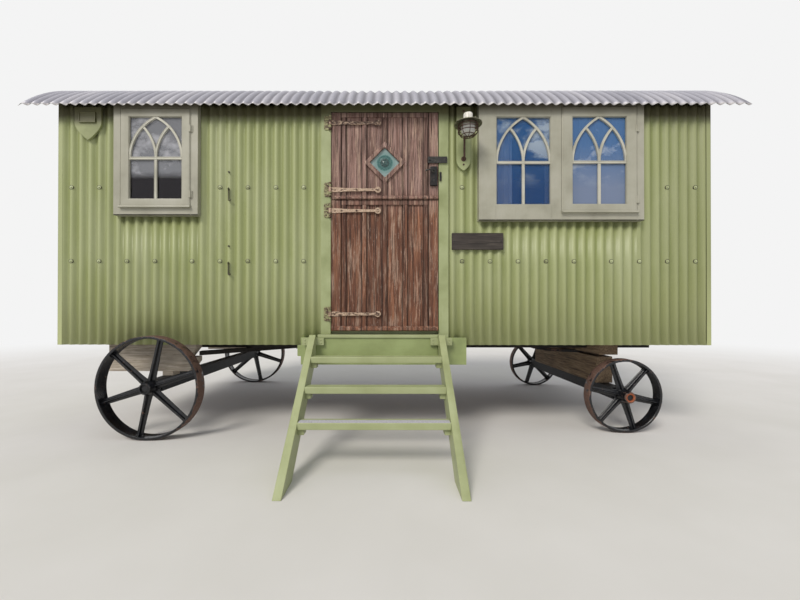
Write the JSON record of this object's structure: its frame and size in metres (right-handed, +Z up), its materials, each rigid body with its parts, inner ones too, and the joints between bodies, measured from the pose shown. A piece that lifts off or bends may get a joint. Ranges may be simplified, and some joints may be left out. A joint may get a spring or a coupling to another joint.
{
  "type": "shepherds hut",
  "caption": "Barrel-roofed hut of corrugated sheet on cast wheels, with a stable door, casement windows and open timber steps.",
  "frame": {"origin": "on the ground below the centre of the overall box, steps included", "axes": "+X along the hut to the right as seen from the door side, +Y from the door side to the back, +Z up"},
  "size_m": [5.8, 3.3252, 3.1915],
  "materials": {
    "green_paint": "satin",
    "green_wood": "painted",
    "roof_zinc": "weathered galvanising",
    "putty_paint": "painted",
    "door_wood": "weathered",
    "inner_wood": "bare",
    "grey_timber": "weathered",
    "dark_timber": "tarred",
    "black_iron": "painted, worn",
    "hinge_iron": "worn paint over rust",
    "lock_iron": "satin",
    "clear_glass": "clear",
    "teal_glass": "crown",
    "lamp_metal": "weathered",
    "sign_wood": "stained"
  },
  "bodies": {
    "hut": {"floor_boards": "inner_wood", "floor_frame": "dark_timber", "chassis_frame": "dark_timber", "rear_blocks": "grey_timber", "rear_axle": "black_iron", "front_axle": "black_iron", "front_bolsters": "grey_timber", "turntable_rings": "black_iron", "front_wall_left": "inner_wood", "front_wall_right": "inner_wood", "back_wall": "inner_wood", "left_end_wall": "inner_wood", "right_end_wall": "inner_wood", "front_cladding_left": "green_paint", "front_cladding_right": "green_paint", "back_cladding": "green_paint", "left_end_cladding": "green_paint", "right_end_cladding": "green_paint", "roof_deck": "inner_wood", "roof_sheet": "roof_zinc", "door_frame": "green_wood", "threshold": "green_wood", "jamb_ironwork": "hinge_iron", "left_window_frame": "putty_paint", "right_window_frame": "putty_paint", "window_sashes": "putty_paint", "window_glass": "clear_glass", "apron_board": "green_wood", "step_stringers": "green_wood", "step_treads": "green_wood", "step_fixings": "green_wood", "sign_board": "sign_wood", "shield_plaque": "green_wood", "door_hooks": "green_paint", "wall_lamp": "lamp_metal"},
    "upper_leaf": {"door_upper": "door_wood", "upper_hinges": "hinge_iron", "diamond_window": "teal_glass", "door_lock": "lock_iron"},
    "lower_leaf": {"door_lower": "door_wood", "lower_hinges": "hinge_iron"},
    "wheel_rear_near": {"rear_wheel_near": "black_iron"},
    "wheel_rear_far": {"rear_wheel_far": "black_iron"},
    "wheel_front_near": {"front_wheel_near": "black_iron"},
    "wheel_front_far": {"front_wheel_far": "black_iron"}
  },
  "joints": [
    {"name": "upper_leaf_hinge", "type": "hinge", "parent": "hut", "child": "upper_leaf", "pos_m": [-0.437, -0.65138, 2.268], "axis": [0, 0, -1], "range_deg": [0, 170]},
    {"name": "lower_leaf_hinge", "type": "hinge", "parent": "hut", "child": "lower_leaf", "pos_m": [-0.437, -0.65138, 1.406], "axis": [0, 0, -1], "range_deg": [0, 170]},
    {"name": "rear_near_wheel_spin", "type": "hinge", "parent": "hut", "child": "wheel_rear_near", "pos_m": [-1.849, -0.71388, 0.4065], "axis": [0, 1, 0], "continuous": true},
    {"name": "rear_far_wheel_spin", "type": "hinge", "parent": "hut", "child": "wheel_rear_far", "pos_m": [-1.849, 1.58512, 0.4065], "axis": [0, 1, 0], "continuous": true},
    {"name": "front_near_wheel_spin", "type": "hinge", "parent": "hut", "child": "wheel_front_near", "pos_m": [2.007, -0.52638, 0.305], "axis": [0, 1, 0], "continuous": true},
    {"name": "front_far_wheel_spin", "type": "hinge", "parent": "hut", "child": "wheel_front_far", "pos_m": [2.007, 1.39762, 0.305], "axis": [0, 1, 0], "continuous": true}
  ]
}
